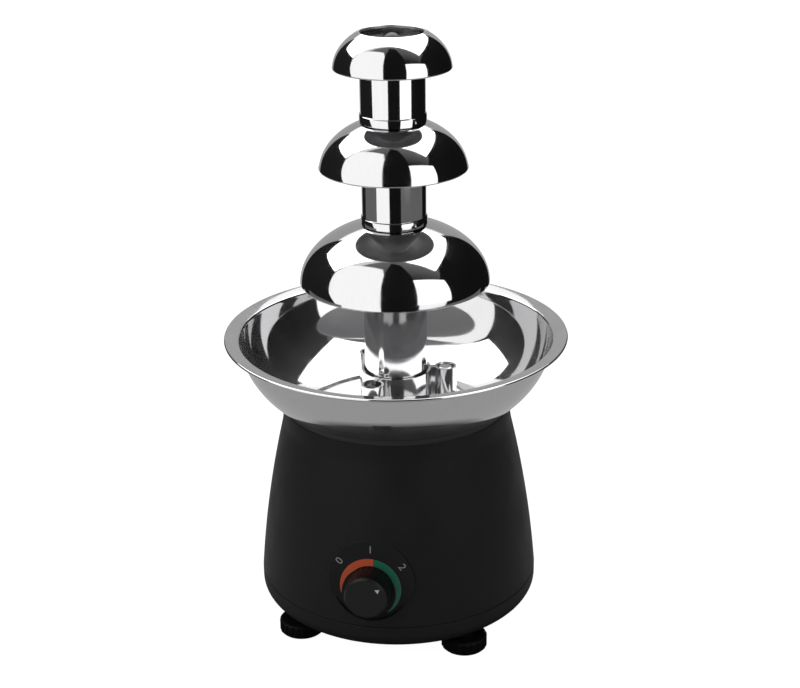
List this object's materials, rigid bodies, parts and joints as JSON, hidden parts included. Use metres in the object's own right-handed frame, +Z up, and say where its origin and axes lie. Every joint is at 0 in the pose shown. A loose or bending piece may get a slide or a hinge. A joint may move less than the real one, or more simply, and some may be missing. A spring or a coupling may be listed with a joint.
{
  "type": "chocolate fountain",
  "caption": "Tiered chocolate fountain: a lift-off steel tower with a driven auger in a heated steel bowl, on a tapered black base with a rotary dial and levelling feet.",
  "frame": {"origin": "on the tower axis at the table, at the middle of the feet", "axes": "+Z up along the tower axis, -Y out of the dial, +X to the right of someone who faces the dial"},
  "size_m": [0.227, 0.227, 0.4001],
  "materials": {
    "polished_steel": "polished stainless steel",
    "auger_plastic": "moulded dark grey plastic",
    "plain_steel": "zinc-plated steel",
    "base_plastic": "fine-textured black plastic",
    "switch_plastic": "moulded plastic",
    "block_plastic": "moulded plastic",
    "mark_white": "printed white",
    "brass": "turned brass",
    "rubber": "moulded rubber",
    "heater_aluminium": "cast aluminium",
    "lead_insulation": "wire insulation"
  },
  "bodies": {
    "base": {"base_shell": "base_plastic", "bottom_cover": "base_plastic", "cover_screws": "plain_steel", "foot_inserts": "brass", "bowl_gasket": "rubber", "bowl": "polished_steel", "locating_posts": "polished_steel", "post_screws": "plain_steel", "shaft_bush": "brass", "bush_nut": "plain_steel", "shaft_seal": "rubber", "heater_plate": "heater_aluminium", "heating_element": "plain_steel", "heater_clamp": "plain_steel", "heater_studs": "plain_steel", "heater_nuts": "plain_steel", "thermostat": "switch_plastic", "thermal_fuse": "plain_steel", "motor_standoffs": "plain_steel", "motor_bracket": "plain_steel", "bracket_screws": "plain_steel", "gearbox": "plain_steel", "gearbox_screws": "plain_steel", "motor_can": "plain_steel", "rotary_switch": "switch_plastic", "switch_nut": "plain_steel", "terminal_block": "block_plastic", "cord_gland": "base_plastic", "gland_nut": "base_plastic", "wiring": "lead_insulation"},
    "drive": {"drive_shaft": "plain_steel", "drive_dog": "plain_steel"},
    "auger": {"auger_shaft": "auger_plastic", "auger_flight": "auger_plastic", "auger_hub": "auger_plastic"},
    "lower_section": {"lower_tube": "polished_steel", "lower_tier": "polished_steel", "tube_collar": "polished_steel"},
    "middle_section": {"middle_tube": "polished_steel", "middle_tier": "polished_steel"},
    "top_section": {"upper_tube": "polished_steel", "crown_tier": "polished_steel"},
    "knob": {"knob": "base_plastic", "knob_pointer": "mark_white", "switch_shaft": "plain_steel"},
    "foot_1_sole": {"foot_pad_1": "rubber"},
    "foot_1": {"foot_wheel_1": "base_plastic", "foot_stud_1": "plain_steel"},
    "foot_2_sole": {"foot_pad_2": "rubber"},
    "foot_2": {"foot_wheel_2": "base_plastic", "foot_stud_2": "plain_steel"},
    "foot_3_sole": {"foot_pad_3": "rubber"},
    "foot_3": {"foot_wheel_3": "base_plastic", "foot_stud_3": "plain_steel"},
    "foot_4_sole": {"foot_pad_4": "rubber"},
    "foot_4": {"foot_wheel_4": "base_plastic", "foot_stud_4": "plain_steel"}
  },
  "joints": [
    {"name": "knob_turn", "type": "hinge", "parent": "base", "child": "knob", "pos_m": [0, -0.089, 0.0575], "axis": [0, -0.9986, 0.0523], "range_deg": [0, 102]},
    {"name": "drive_spin", "type": "hinge", "parent": "base", "child": "drive", "pos_m": [0, 0, 0.13], "axis": [0, 0, 1], "continuous": true},
    {"name": "auger_lift", "type": "slide", "parent": "drive", "child": "auger", "axis": [0, 0, 1], "range_m": [0, 0.24]},
    {"name": "lower_section_lift", "type": "slide", "parent": "base", "child": "lower_section", "axis": [0, 0, 1], "range_m": [0, 0.245]},
    {"name": "middle_section_lift", "type": "slide", "parent": "lower_section", "child": "middle_section", "axis": [0, 0, 1], "range_m": [0, 0.06]},
    {"name": "top_section_lift", "type": "slide", "parent": "middle_section", "child": "top_section", "axis": [0, 0, 1], "range_m": [0, 0.06]},
    {"name": "foot_1_rise", "type": "slide", "parent": "base", "child": "foot_1_sole", "axis": [0, 0, 1], "range_m": [-0.0052, 0.0014]},
    {"name": "foot_1_turn", "type": "hinge", "parent": "foot_1_sole", "child": "foot_1", "pos_m": [0.05586, 0.05586, 0.005], "axis": [0, 0, 1], "range_deg": [-1440, 360]},
    {"name": "foot_2_rise", "type": "slide", "parent": "base", "child": "foot_2_sole", "axis": [0, 0, 1], "range_m": [-0.0052, 0.0014]},
    {"name": "foot_2_turn", "type": "hinge", "parent": "foot_2_sole", "child": "foot_2", "pos_m": [-0.05586, 0.05586, 0.005], "axis": [0, 0, 1], "range_deg": [-1440, 360]},
    {"name": "foot_3_rise", "type": "slide", "parent": "base", "child": "foot_3_sole", "axis": [0, 0, 1], "range_m": [-0.0052, 0.0014]},
    {"name": "foot_3_turn", "type": "hinge", "parent": "foot_3_sole", "child": "foot_3", "pos_m": [-0.05586, -0.05586, 0.005], "axis": [0, 0, 1], "range_deg": [-1440, 360]},
    {"name": "foot_4_rise", "type": "slide", "parent": "base", "child": "foot_4_sole", "axis": [0, 0, 1], "range_m": [-0.0052, 0.0014]},
    {"name": "foot_4_turn", "type": "hinge", "parent": "foot_4_sole", "child": "foot_4", "pos_m": [0.05586, -0.05586, 0.005], "axis": [0, 0, 1], "range_deg": [-1440, 360]}
  ],
  "couplings": [
    {"joint": "foot_1_rise", "follows": "foot_1_turn", "m_per_rad": 0.00019894},
    {"joint": "foot_2_rise", "follows": "foot_2_turn", "m_per_rad": 0.00019894},
    {"joint": "foot_3_rise", "follows": "foot_3_turn", "m_per_rad": 0.00019894},
    {"joint": "foot_4_rise", "follows": "foot_4_turn", "m_per_rad": 0.00019894}
  ]
}
